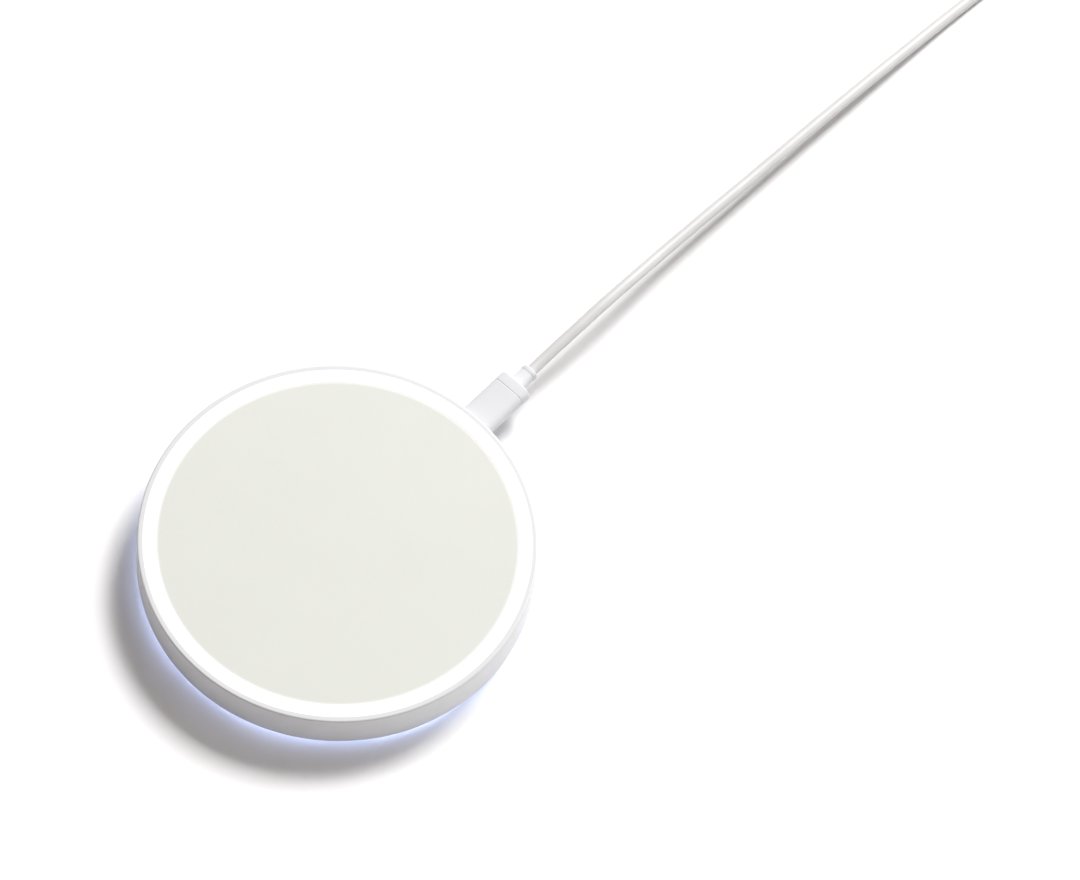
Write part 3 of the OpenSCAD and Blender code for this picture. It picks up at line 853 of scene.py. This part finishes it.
# The ring's slope towards the disc. Ring and disc are this much larger than in the CAD model, which
# leaves out the gaps that nobody can see.
RING_SLOPE = 1.6 * MM
RING_GROWS = 0.04 * MM
DISC_GROWS = 0.03 * MM
FOOT_ROUND = 0.3 * MM
FOOT_GROOVE_R = 0.22 * MM


def make_case():
    """The one-piece shell: wall with a thinner foot, rounded rim, and the deck under the disc."""
    wall_in = PAD_R - WALL_T
    skirt_in = GUIDE_R + SEAT_GAP
    seat_r = RING_OUT_R + SEAT_GAP
    deck_top = RING[0].z
    deck_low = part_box("coil_adhesive")[1].z
    foot, rim = WALL_FOOT_ROUND, RIM_ROUND
    outline = [(skirt_in, WALL_FOOT)]
    outline += arc(PAD_R - foot, WALL_FOOT + foot, foot, -90, 0, 6)
    outline += arc(PAD_R - rim, PAD_TOP - rim, rim, 0, 90, 12)
    outline += arc(seat_r + CRISP, PAD_TOP - CRISP, CRISP, 90, 180, 2)
    outline += [(seat_r, deck_top), (0, deck_top), (0, deck_low), (wall_in, deck_low)]
    outline += [(wall_in, SKIRT_TOP), (skirt_in, SKIRT_TOP)]
    shell = lathe("case_shell", outline)
    w, h = SOCKET[1].x - SOCKET[0].x + PORT_MARGIN, SOCKET[1].z - SOCKET[0].z + PORT_MARGIN
    corners = [(w / 2, h / 2), (-w / 2, h / 2), (-w / 2, 0), (PORT_BEVEL - w / 2, -h / 2),
               (w / 2 - PORT_BEVEL, -h / 2), (w / 2, 0)]
    slot = round_corners(corners, PORT_CORNER)
    cutter = loft("port_cut", [bar_section(slot, y, PORT_Z) for y in (wall_in - MM, PAD_R + MM)])
    shell = cut(shell, cutter)
    return piece("case_shell", shell, CASE_WHITE, "pad", ["upper_housing"], sharp=40)


def make_guide():
    """The light guide: a flange with a web behind the wall, and a lip whose outer face glows."""
    shoulder = SKIRT_TOP - SEAT_GAP
    top, flange_top = GUIDE_BOX[1].z, GUIDE_Z + GUIDE_FLANGE
    outline = [
        (GUIDE_IN_R, LIP_Z), (LIP_R, LIP_Z), (LIP_R, GUIDE_Z), (GUIDE_R - GUIDE_SLOPE, GUIDE_Z),
        (GUIDE_R, GUIDE_Z + GUIDE_SLOPE), (GUIDE_R, shoulder), (GUIDE_WEB_OUT, shoulder),
        (GUIDE_WEB_OUT, top), (GUIDE_WEB_IN, top), (GUIDE_WEB_IN, flange_top),
        (GUIDE_IN_R, flange_top),
    ]
    ring = lathe("guide_ring", outline)
    w = SOCKET[1].x - SOCKET[0].x + GUIDE_GAP_MARGIN
    gap = [(w / 2, shoulder), (w / 2, top + MM), (-w / 2, top + MM), (-w / 2, shoulder)]
    ends = (GUIDE_WEB_IN - GUIDE_GAP_DEPTH, PAD_R)
    ring = cut(ring, loft("guide_cut", [bar_section(gap, y, 0) for y in ends]))
    return piece("guide_ring", ring, GUIDE, "pad", ["light_guide_ring"], sharp=30)


def make_ring():
    """The white ring around the disc: polished, and sloping gently down to the disc's edge."""
    drop = PAD_TOP - DISC[1].z
    slope_r = (RING_SLOPE ** 2 + drop ** 2) / (2 * drop)
    lean = math.degrees(math.asin(RING_SLOPE / slope_r))
    inside, outside = DISC_R + RING_GROWS, RING_OUT_R + RING_GROWS
    outline = [(inside, RING[0].z), (outside, RING[0].z)]
    outline += arc(outside - CRISP, PAD_TOP - CRISP, CRISP, 0, 90, 2)
    outline += arc(inside + RING_SLOPE, PAD_TOP - slope_r, slope_r, 90, 90 + lean, 10)
    ring = lathe("bezel_trim", outline)
    return piece("bezel_trim", ring, RING_WHITE, "pad", ["bezel_ring"], sharp=40)


def make_disc():
    """The charging disc, which fills the ring."""
    outside = DISC_R + DISC_GROWS
    outline = [(0, DISC[0].z), (outside, DISC[0].z)]
    outline += arc(outside - CRISP, DISC[1].z - CRISP, CRISP, 0, 90, 2)
    outline += [(0, DISC[1].z)]
    return piece("disc_inlay", lathe("disc_inlay", outline), disc_coating(), "pad",
                 ["charging_disc"])


def make_foot():
    """The silicone foot: a flat ring with shallow grooves and rounded edges."""
    low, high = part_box("foot_ring")
    outer, inner = high.x, FOOT_IN_R
    outline = [(inner, high.z)]
    outline += arc(inner + FOOT_ROUND, FOOT_ROUND, FOOT_ROUND, 180, 270, 5)
    for k in range(FOOT_GROOVES):
        r = inner + (outer - inner) * (k + 1) / (FOOT_GROOVES + 1)
        outline += arc(r, low.z, FOOT_GROOVE_R, 180, 0, 6)
    outline += arc(outer - FOOT_ROUND, FOOT_ROUND, FOOT_ROUND, 270, 360, 5)
    outline += [(outer, high.z)]
    return piece("foot_pad", lathe("foot_pad", outline, FOOT_SEGMENTS), FOOT, "pad",
                 ["foot_ring"])


def dress_frame():
    """Materials for the CAD nodes that are shown as they are."""
    film = plastic("adhesive_film", (0.72, 0.68, 0.5), 0.55, grain=1500)
    chip = plastic("chip_black", (0.025, 0.025, 0.027), 0.45)
    coil_wire = litz()
    by_node = {
        "base_plate": CASE_WHITE,
        "base_screws": SCREW,
        "board_screws": SCREW,
        "circuit_board": solder_mask(),
        "transmit_coil": coil_wire,
        "coil_leads": coil_wire,
        "disc_adhesive": film,
        "coil_adhesive": film,
        "ferrite_disc": plastic("ferrite", (0.045, 0.045, 0.05), 0.6, grain=2500, grain_depth=0.02),
        "shield_plate": metal("shield_aluminium", (0.75, 0.76, 0.77), 0.35, (1, 0.1, 1)),
        "thermal_pad": soft_graph("thermal_silicone", (0.33, 0.46, 0.6), 0.8).material,
        "power_inductor": plastic("inductor_core", (0.08, 0.08, 0.085), 0.65,
                                  grain=2000, grain_depth=0.03),
        "resonant_capacitors": plastic("capacitor_ceramic", (0.42, 0.3, 0.18), 0.5),
        "ring_leds": plastic("led_package", (0.82, 0.8, 0.6), 0.35),
        "controller_chip": chip,
        "switch_transistors": chip,
        "chip_resistors": chip,
        "thermistor": chip,
        "usb_socket_shell": STEEL,
        "plug_shell": STEEL,
        "far_plug_shell": STEEL,
        "usb_socket_insulator": BLACK_PLASTIC,
        "plug_insulator": BLACK_PLASTIC,
        "far_plug_insulator": WHITE_PLASTIC,
        "usb_socket_contacts": GOLD,
        "plug_contacts": GOLD,
        "far_plug_contacts": GOLD,
    }
    for name, material in by_node.items():
        NODES[name].data.materials.clear()
        NODES[name].data.materials.append(material)


# ---- Floor and light ------------------------------------------------------------------------

FLOOR_HALF = 3
# Directions are from the pad to the light. Distances and sizes are in metres, powers in watts.
KEY_DIRECTION = Vector((-0.1015, 0.7134, 0.6934))
KEY_DISTANCE = 2.6
KEY_SIZE = (1.02, 0.76)
KEY_POWER = 96
FILL_DIRECTION = Vector((0.93, 0.28, 0.3))
FILL_DISTANCE = 2.6
FILL_SIZE = (1.7, 0.9)
FILL_POWER = 14
SKY_LOW = 0.22
SKY_HIGH = 0.36
SKY_COLOUR = (1.0, 0.925, 0.905)


def make_floor():
    """The white table top, far larger than the picture."""
    g = Graph("floor_white")
    g.set(
        Base_Color=g.mix(g.noise(3, 2), (0.84, 0.84, 0.84), (0.86, 0.86, 0.86)),
        Roughness=0.9,
        Specular_IOR_Level=0.1,
    )
    bm = bmesh.new()
    bmesh.ops.create_grid(bm, x_segments=1, y_segments=1, size=FLOOR_HALF)
    mesh = bpy.data.meshes.new("floor")
    bm.to_mesh(mesh)
    bm.free()
    mesh.materials.append(g.material)
    floor = bpy.data.objects.new("floor", mesh)
    bpy.context.scene.collection.objects.link(floor)


def softbox(name, direction, distance, size, power):
    """A rectangular light at a distance from the pad, turned towards it."""
    lamp = bpy.data.lights.new(name, "AREA")
    lamp.shape = "RECTANGLE"
    lamp.size, lamp.size_y = size
    lamp.energy = power
    box = bpy.data.objects.new(name, lamp)
    bpy.context.scene.collection.objects.link(box)
    box.location = direction.normalized() * distance
    box.rotation_mode = "QUATERNION"
    box.rotation_quaternion = (-direction).to_track_quat("-Z", "Y")


def make_light():
    """A large softbox behind the pad, a weak one low beside it, and a room brighter overhead."""
    softbox("key", KEY_DIRECTION, KEY_DISTANCE, KEY_SIZE, KEY_POWER)
    softbox("fill", FILL_DIRECTION, FILL_DISTANCE, FILL_SIZE, FILL_POWER)
    world = bpy.data.worlds.new("studio")
    world.use_nodes = True
    tree = world.node_tree
    background = tree.nodes["Background"]
    background.inputs["Color"].default_value = (*SKY_COLOUR, 1)
    direction = tree.nodes.new("ShaderNodeTexCoord")
    split = tree.nodes.new("ShaderNodeSeparateXYZ")
    level = tree.nodes.new("ShaderNodeMapRange")
    level.inputs["To Min"].default_value = SKY_LOW
    level.inputs["To Max"].default_value = SKY_HIGH
    tree.links.new(direction.outputs["Generated"], split.inputs["Vector"])
    tree.links.new(split.outputs["Z"], level.inputs["Value"])
    tree.links.new(level.outputs["Result"], background.inputs["Strength"])
    bpy.context.scene.world = world
    bpy.context.scene.view_settings.view_transform = "Standard"


make_camera()
on_cord = [make_grip(), make_neck(), make_tie(), make_far_relief(), make_far_grip()]
on_cord += [NODES[name] for name in ("plug_shell", "plug_insulator", "plug_contacts", "far_plug_shell",
                                     "far_plug_insulator", "far_plug_contacts")]
make_cord()
make_case()
make_guide()
make_ring()
make_disc()
make_foot()
dress_frame()
make_floor()
make_light()
